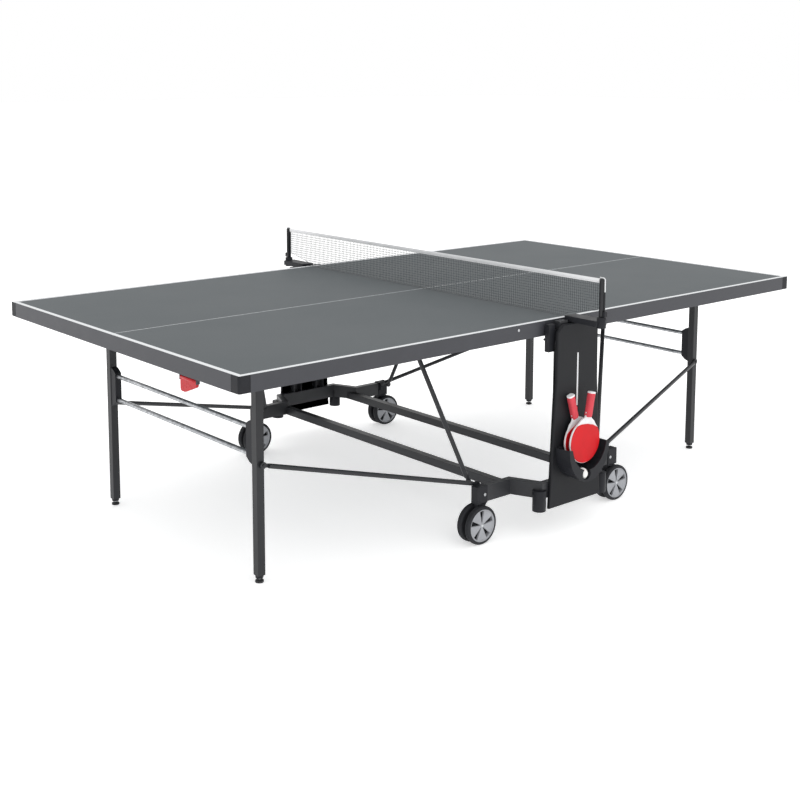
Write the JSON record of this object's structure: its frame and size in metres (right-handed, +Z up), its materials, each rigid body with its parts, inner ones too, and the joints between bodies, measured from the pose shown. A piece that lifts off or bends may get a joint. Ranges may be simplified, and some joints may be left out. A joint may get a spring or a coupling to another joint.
{
  "type": "table tennis table",
  "caption": "Folding outdoor table tennis table: two playing halves on a wheeled trolley, with net, folding legs, bat holders, bats and ball.",
  "frame": {"origin": "floor centre, below the middle of the net", "axes": "+X along the table's length, +Y across it, +Z up"},
  "size_m": [2.74, 1.862, 0.9181],
  "materials": {
    "board": "fine-textured melamine laminate, slate grey with white lines",
    "frame_steel": "graphite powder coat",
    "leg_steel": "anthracite powder coat",
    "trolley_steel": "near-black powder coat",
    "galvanised_steel": "galvanised tube",
    "bolt_steel": "zinc-plated bolt heads",
    "panel_plastic": "moulded anthracite plastic",
    "black_plastic": "moulded black plastic",
    "wheel_plastic": "grey moulded wheel with a dark tread",
    "lever_plastic": "red moulded plastic",
    "cable_sheath": "black cable sheath",
    "post_plastic": "black painted post",
    "net_mesh": "knotted grey net",
    "net_tape": "white woven tape",
    "net_cord": "white cord",
    "bat": "red rubber faces, white edge tape and red handle",
    "ball": "white ball"
  },
  "bodies": {
    "trolley": {"side_frames": "trolley_steel", "crossbeams": "trolley_steel", "uprights": "trolley_steel", "side_panel_near": "panel_plastic", "side_panel_far": "panel_plastic", "caster_brackets": "black_plastic", "corner_guards": "black_plastic", "latch_housings": "black_plastic", "net_brackets": "black_plastic", "net_posts": "post_plastic", "net_mesh": "net_mesh", "net_tape": "net_tape", "net_cords": "net_cord", "net_adjusters": "black_plastic", "bat_holder_near": "black_plastic", "bat_holder_far": "black_plastic", "trolley_fasteners": "bolt_steel"},
    "right_half": {"right_board": "board", "right_side_rails": "frame_steel", "right_cross_rails": "frame_steel", "right_stiffeners": "frame_steel", "right_corner_caps": "black_plastic", "right_release_cable": "cable_sheath"},
    "right_carriage": {"right_carriage": "black_plastic"},
    "right_legs": {"right_legs": "leg_steel", "right_leg_crossbars": "galvanised_steel", "right_leg_fittings": "black_plastic"},
    "right_support_struts": {"right_support_struts": "trolley_steel"},
    "right_leg_struts": {"right_leg_struts": "trolley_steel"},
    "right_release_lever": {"right_release_lever": "lever_plastic"},
    "right_latch_pawl": {"right_latch_pawl": "black_plastic"},
    "foot_right_near": {"foot_right_near": "black_plastic"},
    "caster_fork_right_near": {"caster_fork_right_near": "black_plastic"},
    "caster_wheels_right_near": {"caster_wheels_right_near": "wheel_plastic"},
    "foot_right_far": {"foot_right_far": "black_plastic"},
    "caster_fork_right_far": {"caster_fork_right_far": "black_plastic"},
    "caster_wheels_right_far": {"caster_wheels_right_far": "wheel_plastic"},
    "left_half": {"left_board": "board", "left_side_rails": "frame_steel", "left_cross_rails": "frame_steel", "left_stiffeners": "frame_steel", "left_corner_caps": "black_plastic", "left_release_cable": "cable_sheath"},
    "left_carriage": {"left_carriage": "black_plastic"},
    "left_legs": {"left_legs": "leg_steel", "left_leg_crossbars": "galvanised_steel", "left_leg_fittings": "black_plastic"},
    "left_support_struts": {"left_support_struts": "trolley_steel"},
    "left_leg_struts": {"left_leg_struts": "trolley_steel"},
    "left_release_lever": {"left_release_lever": "lever_plastic"},
    "left_latch_pawl": {"left_latch_pawl": "black_plastic"},
    "foot_left_near": {"foot_left_near": "black_plastic"},
    "caster_fork_left_near": {"caster_fork_left_near": "black_plastic"},
    "caster_wheels_left_near": {"caster_wheels_left_near": "wheel_plastic"},
    "foot_left_far": {"foot_left_far": "black_plastic"},
    "caster_fork_left_far": {"caster_fork_left_far": "black_plastic"},
    "caster_wheels_left_far": {"caster_wheels_left_far": "wheel_plastic"},
    "bat_front": {"bat_front": "bat"},
    "bat_back": {"bat_back": "bat"},
    "ball": {"ball": "ball"}
  },
  "joints": [
    {"name": "right_carriage_slide", "type": "slide", "parent": "trolley", "child": "right_carriage", "axis": [0, 0, -1], "range_m": [0, 0.50846]},
    {"name": "right_fold", "type": "hinge", "parent": "right_carriage", "child": "right_half", "pos_m": [0.06, 0, 0.746], "axis": [0, -1, 0], "range_deg": [0, 90]},
    {"name": "right_leg_fold", "type": "hinge", "parent": "right_half", "child": "right_legs", "pos_m": [1.116, 0, 0.72], "axis": [0, -1, 0], "range_deg": [-90, 0]},
    {"name": "right_support_swing", "type": "hinge", "parent": "right_half", "child": "right_support_struts", "pos_m": [0.505, 0, 0.716], "axis": [0, -1, 0], "range_deg": [-45.11, 0]},
    {"name": "right_leg_strut_swing", "type": "hinge", "parent": "right_legs", "child": "right_leg_struts", "pos_m": [1.11, 0, 0.38614], "axis": [0, -1, 0], "range_deg": [0, 94.52]},
    {"name": "right_lever_pull", "type": "hinge", "parent": "right_half", "child": "right_release_lever", "pos_m": [1.359, 0.48, 0.698], "axis": [0, -1, 0], "range_deg": [0, 25], "stiffness_Nm_per_rad": 0.4, "springref_deg": -11.46},
    {"name": "right_latch_turn", "type": "hinge", "parent": "right_half", "child": "right_latch_pawl", "pos_m": [0.104, 0.7625, 0.722], "axis": [0, -1, 0], "range_deg": [-25, 0]},
    {"name": "foot_screw_right_near", "type": "slide", "parent": "right_legs", "child": "foot_right_near", "axis": [0, 0, -1], "range_m": [0, 0.015]},
    {"name": "caster_swivel_right_near", "type": "hinge", "parent": "trolley", "child": "caster_fork_right_near", "pos_m": [0.338, -0.677, 0.142], "axis": [0, 0, 1], "continuous": true},
    {"name": "wheel_spin_right_near", "type": "hinge", "parent": "caster_fork_right_near", "child": "caster_wheels_right_near", "pos_m": [0.354, -0.677, 0.0675], "axis": [0, 1, 0], "continuous": true},
    {"name": "foot_screw_right_far", "type": "slide", "parent": "right_legs", "child": "foot_right_far", "axis": [0, 0, -1], "range_m": [0, 0.015]},
    {"name": "caster_swivel_right_far", "type": "hinge", "parent": "trolley", "child": "caster_fork_right_far", "pos_m": [0.338, 0.677, 0.142], "axis": [0, 0, 1], "continuous": true},
    {"name": "wheel_spin_right_far", "type": "hinge", "parent": "caster_fork_right_far", "child": "caster_wheels_right_far", "pos_m": [0.354, 0.677, 0.0675], "axis": [0, 1, 0], "continuous": true},
    {"name": "left_carriage_slide", "type": "slide", "parent": "trolley", "child": "left_carriage", "axis": [0, 0, -1], "range_m": [0, 0.50846]},
    {"name": "left_fold", "type": "hinge", "parent": "left_carriage", "child": "left_half", "pos_m": [-0.06, 0, 0.746], "axis": [0, 1, 0], "range_deg": [0, 90]},
    {"name": "left_leg_fold", "type": "hinge", "parent": "left_half", "child": "left_legs", "pos_m": [-1.116, 0, 0.72], "axis": [0, 1, 0], "range_deg": [-90, 0]},
    {"name": "left_support_swing", "type": "hinge", "parent": "left_half", "child": "left_support_struts", "pos_m": [-0.505, 0, 0.716], "axis": [0, 1, 0], "range_deg": [-45.11, 0]},
    {"name": "left_leg_strut_swing", "type": "hinge", "parent": "left_legs", "child": "left_leg_struts", "pos_m": [-1.11, 0, 0.38614], "axis": [0, 1, 0], "range_deg": [0, 94.52]},
    {"name": "left_lever_pull", "type": "hinge", "parent": "left_half", "child": "left_release_lever", "pos_m": [-1.359, -0.48, 0.698], "axis": [0, 1, 0], "range_deg": [0, 25], "stiffness_Nm_per_rad": 0.4, "springref_deg": -11.46},
    {"name": "left_latch_turn", "type": "hinge", "parent": "left_half", "child": "left_latch_pawl", "pos_m": [-0.104, -0.7625, 0.722], "axis": [0, 1, 0], "range_deg": [-25, 0]},
    {"name": "foot_screw_left_near", "type": "slide", "parent": "left_legs", "child": "foot_left_near", "axis": [0, 0, -1], "range_m": [0, 0.015]},
    {"name": "caster_swivel_left_near", "type": "hinge", "parent": "trolley", "child": "caster_fork_left_near", "pos_m": [-0.338, -0.677, 0.142], "axis": [0, 0, 1], "continuous": true},
    {"name": "wheel_spin_left_near", "type": "hinge", "parent": "caster_fork_left_near", "child": "caster_wheels_left_near", "pos_m": [-0.354, -0.677, 0.0675], "axis": [0, 1, 0], "continuous": true},
    {"name": "foot_screw_left_far", "type": "slide", "parent": "left_legs", "child": "foot_left_far", "axis": [0, 0, -1], "range_m": [0, 0.015]},
    {"name": "caster_swivel_left_far", "type": "hinge", "parent": "trolley", "child": "caster_fork_left_far", "pos_m": [-0.338, 0.677, 0.142], "axis": [0, 0, 1], "continuous": true},
    {"name": "wheel_spin_left_far", "type": "hinge", "parent": "caster_fork_left_far", "child": "caster_wheels_left_far", "pos_m": [-0.354, 0.677, 0.0675], "axis": [0, 1, 0], "continuous": true},
    {"name": "bat_front_lift", "type": "slide", "parent": "trolley", "child": "bat_front", "axis": [0.1908, 0, 0.9816], "range_m": [0, 0.2]},
    {"name": "bat_back_lift", "type": "slide", "parent": "trolley", "child": "bat_back", "axis": [-0.284, 0, 0.9588], "range_m": [0, 0.2]},
    {"name": "ball_out", "type": "slide", "parent": "trolley", "child": "ball", "axis": [0, -0.9903, 0.1392], "range_m": [0, 0.06]}
  ],
  "couplings": [
    {"joint": "right_carriage_slide", "follows": "right_fold", "m_per_rad": 0.3237},
    {"joint": "right_leg_fold", "follows": "right_fold", "ratio": -1},
    {"joint": "right_support_swing", "follows": "right_fold", "ratio": -0.50118},
    {"joint": "right_leg_strut_swing", "follows": "right_fold", "ratio": 1.0502},
    {"joint": "right_latch_turn", "follows": "right_lever_pull", "ratio": -1},
    {"joint": "left_carriage_slide", "follows": "left_fold", "m_per_rad": 0.3237},
    {"joint": "left_leg_fold", "follows": "left_fold", "ratio": -1},
    {"joint": "left_support_swing", "follows": "left_fold", "ratio": -0.50118},
    {"joint": "left_leg_strut_swing", "follows": "left_fold", "ratio": 1.0502},
    {"joint": "left_latch_turn", "follows": "left_lever_pull", "ratio": -1}
  ]
}
